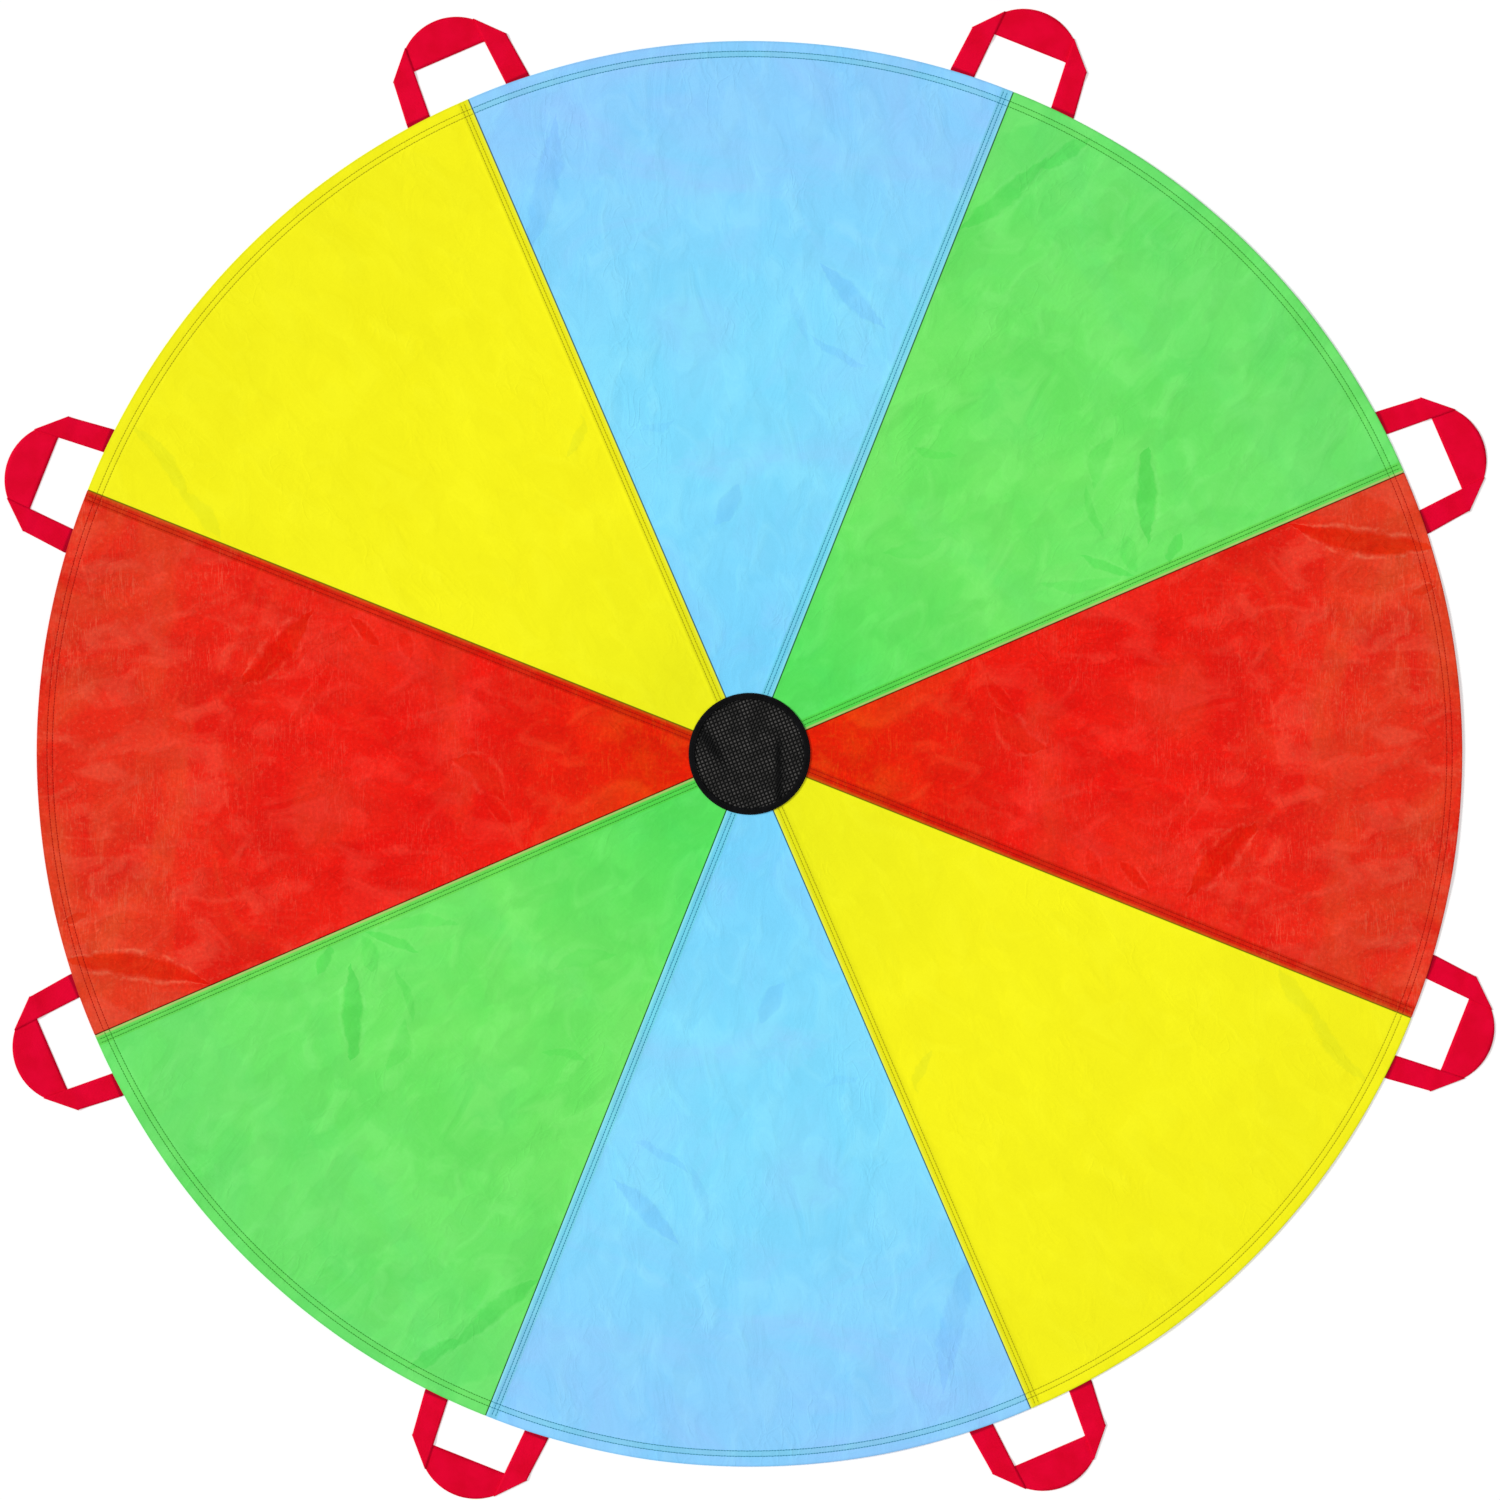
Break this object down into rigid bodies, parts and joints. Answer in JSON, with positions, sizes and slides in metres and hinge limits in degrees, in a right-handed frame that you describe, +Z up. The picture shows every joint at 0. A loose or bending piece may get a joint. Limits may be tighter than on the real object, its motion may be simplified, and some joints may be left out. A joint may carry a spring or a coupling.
{
  "type": "play parachute",
  "caption": "Round play parachute laid flat: coloured cloth panels lap-seamed round a black net hub, with a stitched hem and folded webbing handles that hinge at the rim.",
  "frame": {"origin": "middle of the canopy, on the ground that it lies on", "axes": "+Z up, the outer side of the cloth; +X along the middle of the right-hand red panel; +Y towards the top blue panel"},
  "size_m": [1.902, 1.902, 0.0048],
  "materials": {
    "cloth_red": "thin woven polyester, soft sheen",
    "cloth_green": "thin woven polyester, soft sheen",
    "cloth_blue": "thin woven polyester, soft sheen",
    "cloth_yellow": "thin woven polyester, soft sheen",
    "thread_red": "twisted sewing thread",
    "thread_green": "twisted sewing thread",
    "thread_blue": "twisted sewing thread",
    "thread_yellow": "twisted sewing thread",
    "thread_hem": "twisted sewing thread",
    "thread_binding": "twisted sewing thread",
    "net": "open woven polyester net",
    "binding": "folded tape, matt",
    "webbing": "flat woven polypropylene webbing"
  },
  "bodies": {
    "canopy": {"panel_right_red": "cloth_red", "panel_upper_right_green": "cloth_green", "panel_top_blue": "cloth_blue", "panel_upper_left_yellow": "cloth_yellow", "panel_left_red": "cloth_red", "panel_lower_left_green": "cloth_green", "panel_bottom_blue": "cloth_blue", "panel_lower_right_yellow": "cloth_yellow", "seam_1_thread_a": "thread_green", "seam_1_thread_b": "thread_green", "seam_2_thread_a": "thread_blue", "seam_2_thread_b": "thread_blue", "seam_3_thread_a": "thread_yellow", "seam_3_thread_b": "thread_yellow", "seam_4_thread_a": "thread_red", "seam_4_thread_b": "thread_red", "seam_5_thread_a": "thread_green", "seam_5_thread_b": "thread_green", "seam_6_thread_a": "thread_blue", "seam_6_thread_b": "thread_blue", "seam_7_thread_a": "thread_yellow", "seam_7_thread_b": "thread_yellow", "seam_8_thread_a": "thread_red", "seam_8_thread_b": "thread_red", "hem_thread_outer": "thread_hem", "hem_thread_inner": "thread_hem", "centre_net": "net", "net_binding": "binding", "binding_thread_inner": "thread_binding", "binding_thread_outer": "thread_binding", "handle_1_end_a": "webbing", "handle_1_end_b": "webbing", "handle_2_end_a": "webbing", "handle_2_end_b": "webbing", "handle_3_end_a": "webbing", "handle_3_end_b": "webbing", "handle_4_end_a": "webbing", "handle_4_end_b": "webbing", "handle_5_end_a": "webbing", "handle_5_end_b": "webbing", "handle_6_end_a": "webbing", "handle_6_end_b": "webbing", "handle_7_end_a": "webbing", "handle_7_end_b": "webbing", "handle_8_end_a": "webbing", "handle_8_end_b": "webbing"},
    "handle_1": {"handle_1_loop": "webbing"},
    "handle_2": {"handle_2_loop": "webbing"},
    "handle_3": {"handle_3_loop": "webbing"},
    "handle_4": {"handle_4_loop": "webbing"},
    "handle_5": {"handle_5_loop": "webbing"},
    "handle_6": {"handle_6_loop": "webbing"},
    "handle_7": {"handle_7_loop": "webbing"},
    "handle_8": {"handle_8_loop": "webbing"}
  },
  "joints": [
    {"name": "handle_1_swing", "type": "hinge", "parent": "canopy", "child": "handle_1", "pos_m": [0.84312, 0.34923, 0.0017], "axis": [0.3827, -0.9239, 0], "range_deg": [-90, 170]},
    {"name": "handle_2_swing", "type": "hinge", "parent": "canopy", "child": "handle_2", "pos_m": [0.34923, 0.84312, 0.0017], "axis": [0.9239, -0.3827, 0], "range_deg": [-90, 170]},
    {"name": "handle_3_swing", "type": "hinge", "parent": "canopy", "child": "handle_3", "pos_m": [-0.34923, 0.84312, 0.0017], "axis": [0.9239, 0.3827, 0], "range_deg": [-90, 170]},
    {"name": "handle_4_swing", "type": "hinge", "parent": "canopy", "child": "handle_4", "pos_m": [-0.84312, 0.34923, 0.0017], "axis": [0.3827, 0.9239, 0], "range_deg": [-90, 170]},
    {"name": "handle_5_swing", "type": "hinge", "parent": "canopy", "child": "handle_5", "pos_m": [-0.84312, -0.34923, 0.0017], "axis": [-0.3827, 0.9239, 0], "range_deg": [-90, 170]},
    {"name": "handle_6_swing", "type": "hinge", "parent": "canopy", "child": "handle_6", "pos_m": [-0.34923, -0.84312, 0.0017], "axis": [-0.9239, 0.3827, 0], "range_deg": [-90, 170]},
    {"name": "handle_7_swing", "type": "hinge", "parent": "canopy", "child": "handle_7", "pos_m": [0.34923, -0.84312, 0.0017], "axis": [-0.9239, -0.3827, 0], "range_deg": [-90, 170]},
    {"name": "handle_8_swing", "type": "hinge", "parent": "canopy", "child": "handle_8", "pos_m": [0.84312, -0.34923, 0.0017], "axis": [-0.3827, -0.9239, 0], "range_deg": [-90, 170]}
  ]
}
